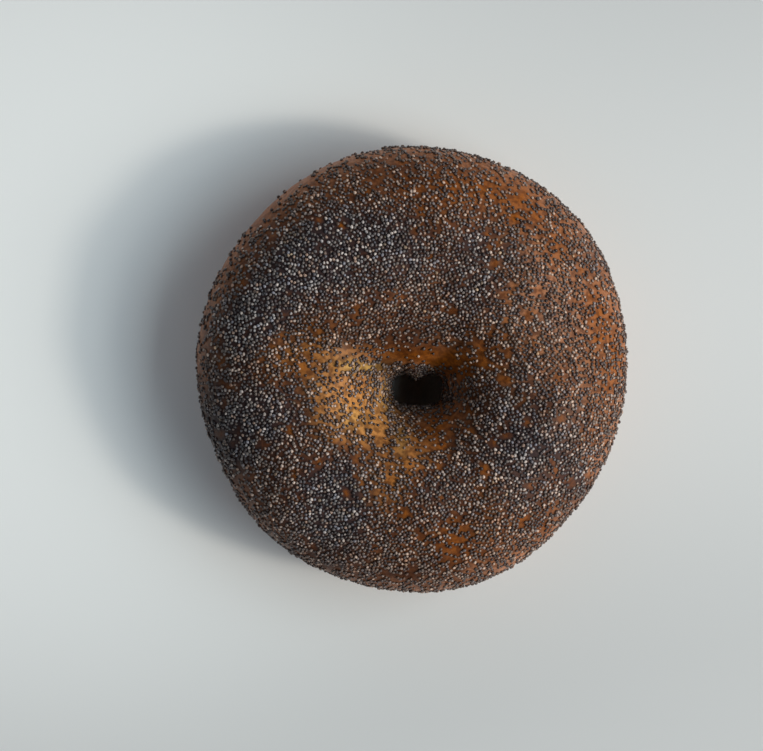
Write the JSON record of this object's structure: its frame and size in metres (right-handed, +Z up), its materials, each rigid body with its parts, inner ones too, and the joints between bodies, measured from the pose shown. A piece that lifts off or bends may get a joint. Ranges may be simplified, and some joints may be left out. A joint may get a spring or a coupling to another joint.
{
  "type": "bagel",
  "caption": "Whole round bread roll with a small off-centre hole, a domed crown and a flat underside, covered in poppy seeds.",
  "frame": {"origin": "on the surface the bagel stands on, under the middle of its outline", "axes": "+Z up out of the crown, +X to the right and +Y away from the viewer in the view straight down on the crown"},
  "size_m": [0.1041, 0.1078, 0.0383],
  "materials": {
    "crust": "satin",
    "poppy_seed": "satin"
  },
  "bodies": {
    "root": {"bagel": "crust"}
  },
  "joints": []
}
